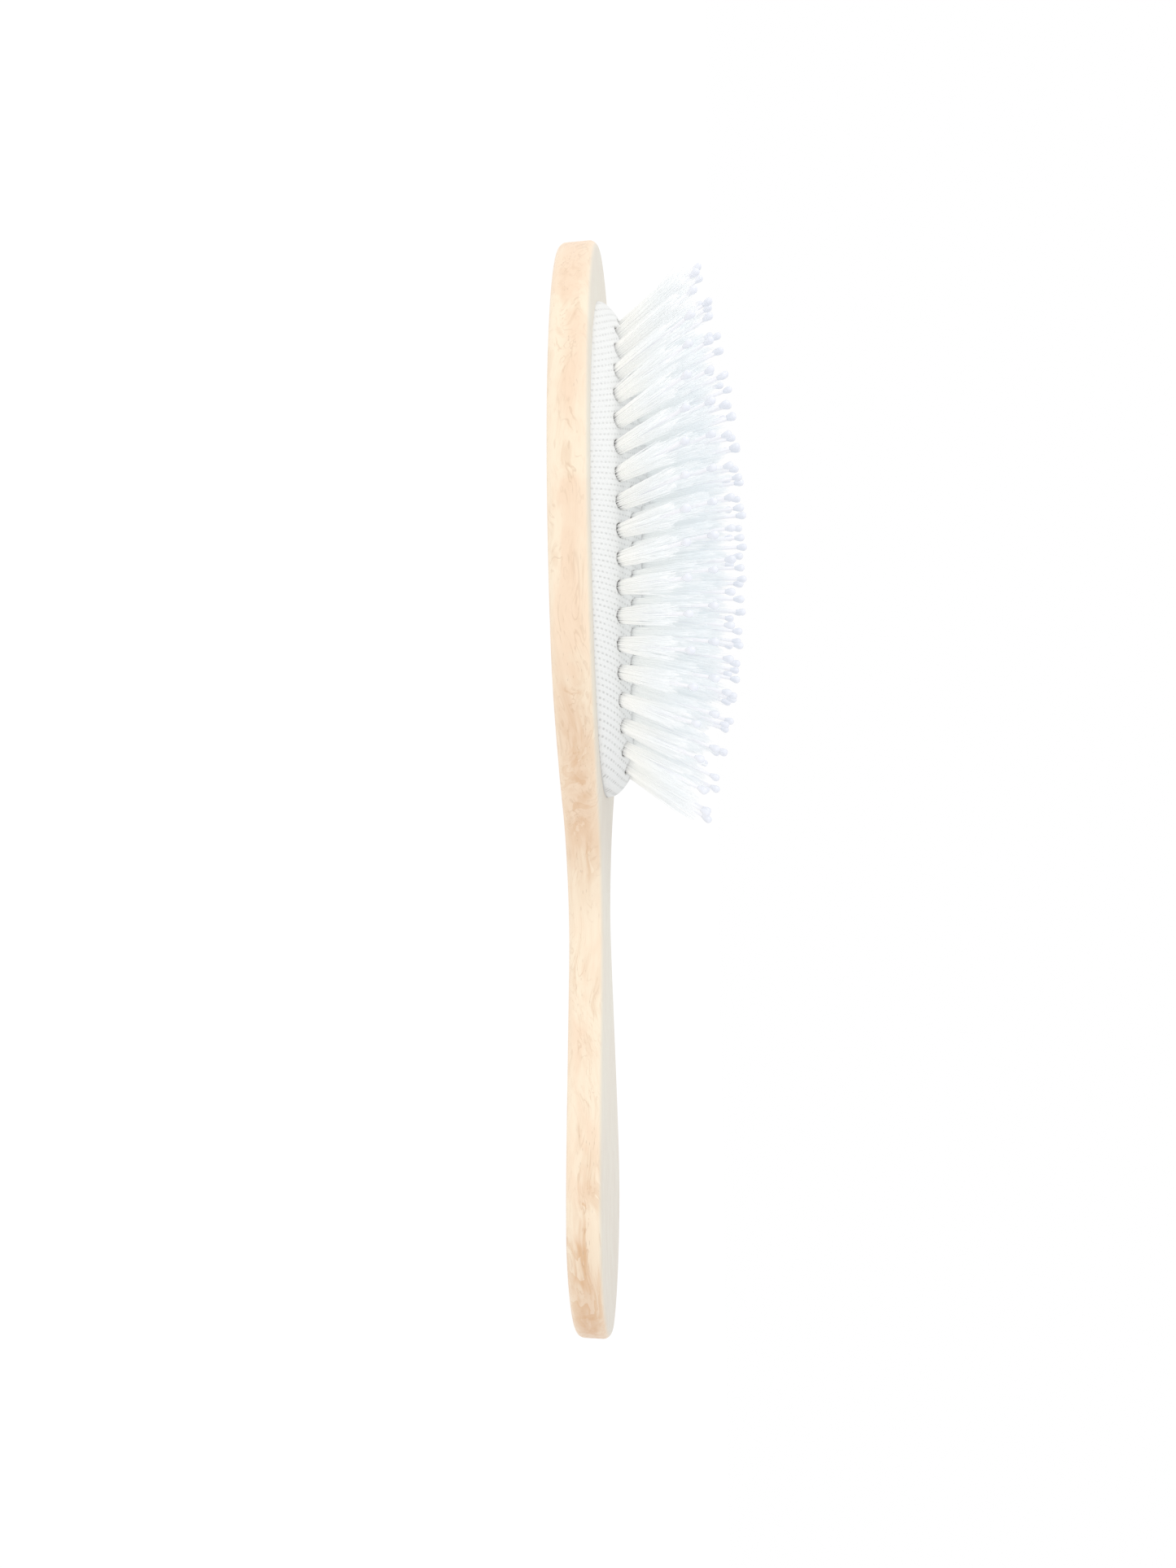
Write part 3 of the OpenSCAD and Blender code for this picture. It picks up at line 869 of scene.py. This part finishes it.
def clouded(name, scale, one, other, smoothest, roughest, **values):
    """A material that wanders between two colours, and between two roughnesses with them."""
    n = Nodes(name)
    cloud = n.noise(n.place((scale, scale, scale)), 2.0)
    n.put(n.shader, "Base Color", n.mix(cloud, one, other))
    n.put(n.shader, "Roughness", n.ramp(cloud, 0.3, 0.7, smoothest, roughest))
    n.set(**values)
    return n.material


def pin_material():
    light, dark = srgb(238, 238, 242), srgb(228, 228, 234)
    # A painted glow: the pins give off a little light, which stands for light carried inside the clear
    # nylon
    glow = {"Emission_Color": BRISTLE_GLOW, "Emission_Strength": 0.08}
    return clouded("nylon_pin", 500, light, dark, 0.25, 0.36, Specular_IOR_Level=0.5, **glow)


def ball_material():
    light, dark = srgb(238, 240, 247), srgb(220, 224, 236)
    coat = {"Coat_Weight": 0.3, "Coat_Roughness": 0.1}
    return clouded("resin_drop", 700, light, dark, 0.16, 0.26, Specular_IOR_Level=0.55, **coat)


def wire_material():
    light, dark = srgb(190, 190, 194), srgb(160, 160, 166)
    return clouded("drawn_wire", 900, light, dark, 0.25, 0.4, Metallic=1.0)


# ---- stage ----------------------------------------------------------------------
LIT_SPOT = Vector((-0.03, 0, 0.01))  # the lights point here
VIEW_GAMMA = 1.35  # makes the whole picture brighter
FLOOR_HALF = 6.0
FLOOR_GAP = 0.00002  # the floor is this far under the brush


def area_light(name, place, size, watts, colour):
    data = bpy.data.lights.new(name, "AREA")
    data.shape = "DISK"
    data.size = size
    data.energy = watts
    data.color = colour
    light = bpy.data.objects.new(name, data)
    light.location = place
    light.rotation_mode = "QUATERNION"
    light.rotation_quaternion = (Vector(place) - LIT_SPOT).to_track_quat("Z", "Y")
    bpy.context.scene.collection.objects.link(light)


def make_stage():
    scene = bpy.context.scene
    scene.view_settings.view_transform = "Standard"
    scene.view_settings.gamma = VIEW_GAMMA
    world = bpy.data.worlds.new("white_room")
    scene.world = world
    world.use_nodes = True
    tree = world.node_tree
    room = tree.nodes["Background"]
    room.inputs["Color"].default_value = (0.97, 0.98, 1.0, 1)
    room.inputs["Strength"].default_value = 0.9
    # The camera sees plain white behind the brush
    seen = tree.nodes.new("ShaderNodeBackground")
    seen.inputs["Strength"].default_value = 1.0
    seen.inputs["Color"].default_value = (1, 1, 1, 1)
    choose = tree.nodes.new("ShaderNodeMixShader")
    path = tree.nodes.new("ShaderNodeLightPath")
    tree.links.new(path.outputs["Is Camera Ray"], choose.inputs[0])
    tree.links.new(room.outputs[0], choose.inputs[1])
    tree.links.new(seen.outputs[0], choose.inputs[2])
    tree.links.new(choose.outputs[0], tree.nodes["World Output"].inputs["Surface"])
    area_light("key", (-0.75, -0.55, 0.55), 0.5, 2.4, (1.0, 0.985, 0.96))
    area_light("fill", (0.15, -0.95, 0.3), 0.8, 1.0, (1.0, 1.0, 1.0))

    corners = np.array([(-1, -1, 0), (1, -1, 0), (1, 1, 0), (-1, 1, 0)]) * FLOOR_HALF
    floor = new_mesh("pale_floor", corners / MM, [(0, 1, 2, 3)], smooth=False)
    floor.location.z = -FLOOR_GAP
    n = Nodes("pale_floor")
    speck = n.noise(n.place((40, 40, 40)), 2.0)
    n.put(n.shader, "Base Color", n.mix(speck, (0.1, 0.1, 0.1, 1), (0.11, 0.11, 0.11, 1)))
    n.set(Roughness=1.0, Specular_IOR_Level=0.0)
    n.set(Emission_Color=(1, 1, 1, 1), Emission_Strength=0.93)
    floor.data.materials.append(n.material)


# ---- put it together ------------------------------------------------------------
make_camera()
make_stage()

board = make_board()
dress(board, wood_material(), BOARD)
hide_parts("wood_body")

cloth = make_cloth()
dress(cloth, cloth_material(), BOARD)
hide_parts("pad_cloth")
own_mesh(cloth)

rubber = make_rubber()
dress(rubber, rubber_material(), BOARD)
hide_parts("rubber_pad")
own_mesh(rubber)

BRISTLE, PIN, BALL, WIRE = bristle_material(), pin_material(), ball_material(), wire_material()
for ring in RINGS:
    tufts = make_bristles(ring)
    dress(tufts, BRISTLE, ring)
    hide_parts(ring + "_bristles")
    pins = make_pins(ring)
    dress(pins, PIN, ring)
    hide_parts(ring + "_pins")
    balls = make_balls(ring)
    dress(balls, BALL, ring)
    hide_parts(ring + "_ball_tips")
    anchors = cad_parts[ring + "_anchors"].data
    anchors.materials.clear()
    anchors.materials.append(WIRE)
